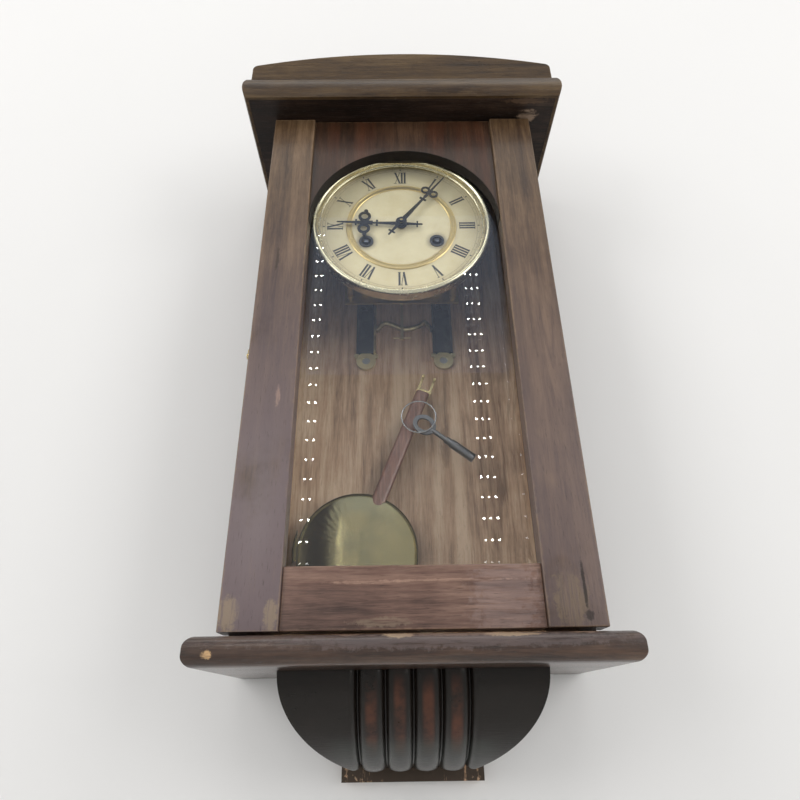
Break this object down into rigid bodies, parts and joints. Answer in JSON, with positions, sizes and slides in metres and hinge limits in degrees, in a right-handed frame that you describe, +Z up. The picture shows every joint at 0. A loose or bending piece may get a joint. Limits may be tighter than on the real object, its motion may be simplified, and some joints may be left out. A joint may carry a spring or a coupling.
{
  "type": "pendulum wall clock",
  "caption": "Wall clock in a tall stained wood case with a glazed arched door, a cream dial on a spring movement, and a brass-bob pendulum behind the glass.",
  "frame": {"origin": "centre of the hanging hole, on the plane of the wall", "axes": "+Z up, +Y into the wall, the door and dial face -Y, +X to the right of someone facing the clock"},
  "size_m": [0.3072, 0.1521, 0.639],
  "materials": {
    "walnut_stain": "stained and varnished, worn",
    "backboard_wood": "lighter stained boards",
    "ebonised_wood": "near black, glossy",
    "glass": "clear sheet",
    "brass": "aged, satin",
    "gilt": "gilt, bright",
    "dial_cream": "cream enamel paint",
    "black_steel": "blued black",
    "iron": "black lacquered",
    "steel": "dull",
    "rod_wood": "polished red-brown"
  },
  "bodies": {
    "case": {"backboard": "backboard_wood", "left_side": "walnut_stain", "right_side": "walnut_stain", "cornice_board": "walnut_stain", "cornice_moulding": "walnut_stain", "crest_board": "walnut_stain", "base_board": "walnut_stain", "corbel": "ebonised_wood", "hanger_plate": "steel", "screws_and_nuts": "steel", "hinge_case_leaves": "brass", "hinge_pins": "brass", "dial_plate": "dial_cream", "winding_bushes": "black_steel", "dial_ring": "gilt", "dial_bezel": "brass", "front_plate": "brass", "back_plate": "brass", "gong_coil": "steel", "gong_block": "brass", "movement_bracket": "iron", "bracket_feet": "brass"},
    "door": {"door_left_stile": "walnut_stain", "door_right_stile": "walnut_stain", "door_bottom_rail": "walnut_stain", "door_top_rail": "walnut_stain", "door_glass": "glass", "glass_beads": "ebonised_wood", "hinge_door_leaves": "brass", "door_catch": "brass"},
    "door_hook": {"door_hook": "brass"},
    "minute_hand": {"minute_hand": "black_steel", "hand_nut": "brass", "cannon_pinion": "brass"},
    "hour_hand": {"hour_hand": "black_steel", "hour_wheel": "brass"},
    "leader": {"leader": "steel", "suspension_spring": "steel"},
    "pendulum": {"pendulum_hook": "brass", "pendulum_rod": "rod_wood", "pendulum_bob": "brass", "rating_screw": "brass", "winding_key": "steel", "key_ring": "steel"},
    "minute_wheel": {"minute_wheel": "brass"},
    "third_wheel": {"third_wheel": "brass"},
    "centre_wheel": {"centre_wheel": "brass"},
    "escape_wheel": {"escape_wheel": "brass"},
    "intermediate_wheel": {"intermediate_wheel": "brass"},
    "going_barrel": {"going_barrel": "brass"},
    "pin_wheel": {"pin_wheel": "brass"},
    "strike_barrel": {"strike_barrel": "brass"},
    "fly": {"fly": "brass"},
    "going_winder": {"going_winder": "steel"},
    "strike_winder": {"strike_winder": "steel"},
    "going_click": {"going_click": "steel"},
    "strike_click": {"strike_click": "steel"},
    "hammer": {"hammer": "steel"},
    "anchor": {"anchor": "steel"},
    "rating_nut": {"rating_nut": "brass"}
  },
  "joints": [
    {"name": "door_swing", "type": "hinge", "parent": "case", "child": "door", "pos_m": [0.126, -0.1047, -0.452], "axis": [0, 0, 1], "range_deg": [0, 130]},
    {"name": "door_hook_lift", "type": "hinge", "parent": "case", "child": "door_hook", "pos_m": [-0.1265, -0.0884, -0.242], "axis": [-1, 0, 0], "range_deg": [0, 95]},
    {"name": "minute_hand_turn", "type": "hinge", "parent": "case", "child": "minute_hand", "pos_m": [-0.0025, -0.095, -0.089], "axis": [0, 1, 0], "continuous": true},
    {"name": "hour_hand_turn", "type": "hinge", "parent": "case", "child": "hour_hand", "pos_m": [-0.0025, -0.095, -0.089], "axis": [0, 1, 0], "continuous": true},
    {"name": "minute_wheel_turn", "type": "hinge", "parent": "case", "child": "minute_wheel", "pos_m": [-0.0025, -0.088, -0.0722], "axis": [0, 1, 0], "continuous": true},
    {"name": "third_wheel_turn", "type": "hinge", "parent": "case", "child": "third_wheel", "pos_m": [-0.01174, -0.06, -0.073], "axis": [0, 1, 0], "continuous": true},
    {"name": "centre_wheel_turn", "type": "hinge", "parent": "case", "child": "centre_wheel", "pos_m": [-0.0025, -0.06, -0.089], "axis": [0, 1, 0], "continuous": true},
    {"name": "escape_wheel_turn", "type": "hinge", "parent": "case", "child": "escape_wheel", "pos_m": [-0.0025, -0.06, -0.06013], "axis": [0, 1, 0], "continuous": true},
    {"name": "intermediate_wheel_turn", "type": "hinge", "parent": "case", "child": "intermediate_wheel", "pos_m": [0.01742, -0.06, -0.08234], "axis": [0, 1, 0], "continuous": true},
    {"name": "going_barrel_turn", "type": "hinge", "parent": "case", "child": "going_barrel", "pos_m": [0.0305, -0.06, -0.108], "axis": [0, 1, 0], "continuous": true},
    {"name": "pin_wheel_turn", "type": "hinge", "parent": "case", "child": "pin_wheel", "pos_m": [-0.0325, -0.06, -0.07936], "axis": [0, 1, 0], "continuous": true},
    {"name": "strike_barrel_turn", "type": "hinge", "parent": "case", "child": "strike_barrel", "pos_m": [-0.0355, -0.06, -0.108], "axis": [0, 1, 0], "continuous": true},
    {"name": "fly_turn", "type": "hinge", "parent": "case", "child": "fly", "pos_m": [-0.03541, -0.06, -0.06566], "axis": [0, 1, 0], "continuous": true},
    {"name": "going_winder_turn", "type": "hinge", "parent": "case", "child": "going_winder", "pos_m": [0.0305, -0.06, -0.108], "axis": [0, 1, 0], "continuous": true},
    {"name": "strike_winder_turn", "type": "hinge", "parent": "case", "child": "strike_winder", "pos_m": [-0.0355, -0.06, -0.108], "axis": [0, 1, 0], "continuous": true},
    {"name": "going_click_lift", "type": "hinge", "parent": "case", "child": "going_click", "pos_m": [0.01796, -0.085, -0.0915], "axis": [0, -1, 0], "range_deg": [0, 15]},
    {"name": "strike_click_lift", "type": "hinge", "parent": "case", "child": "strike_click", "pos_m": [-0.02296, -0.085, -0.0915], "axis": [0, 1, 0], "range_deg": [0, 15]},
    {"name": "hammer_lift", "type": "hinge", "parent": "case", "child": "hammer", "pos_m": [-0.0265, -0.06, -0.049], "axis": [0, 1, 0], "range_deg": [0, 12]},
    {"name": "pendulum_swing", "type": "hinge", "parent": "case", "child": "leader", "pos_m": [-0.0025, -0.0275, -0.0458], "axis": [0, 1, 0], "range_deg": [-2, 2]},
    {"name": "anchor_rock", "type": "hinge", "parent": "case", "child": "anchor", "pos_m": [-0.0025, -0.0275, -0.0458], "axis": [0, 1, 0], "range_deg": [-2, 2]},
    {"name": "pendulum_hang", "type": "hinge", "parent": "leader", "child": "pendulum", "pos_m": [-0.11082, -0.0275, -0.25822], "axis": [0, -1, 0], "range_deg": [0, 21.6]},
    {"name": "rating_nut_turn", "type": "hinge", "parent": "pendulum", "child": "rating_nut", "pos_m": [-0.06488, -0.0275, -0.43643], "axis": [0.3681, 0, 0.9298], "continuous": true}
  ],
  "couplings": [
    {"joint": "hour_hand_turn", "follows": "minute_hand_turn", "ratio": 0.083333},
    {"joint": "minute_wheel_turn", "follows": "minute_hand_turn", "ratio": -0.33333},
    {"joint": "centre_wheel_turn", "follows": "third_wheel_turn", "ratio": -0.1},
    {"joint": "escape_wheel_turn", "follows": "third_wheel_turn", "ratio": -10},
    {"joint": "intermediate_wheel_turn", "follows": "third_wheel_turn", "ratio": 0.016667},
    {"joint": "going_barrel_turn", "follows": "third_wheel_turn", "ratio": -0.0027778},
    {"joint": "strike_barrel_turn", "follows": "pin_wheel_turn", "ratio": -0.16667},
    {"joint": "fly_turn", "follows": "pin_wheel_turn", "ratio": -6},
    {"joint": "anchor_rock", "follows": "pendulum_swing", "ratio": 1}
  ]
}
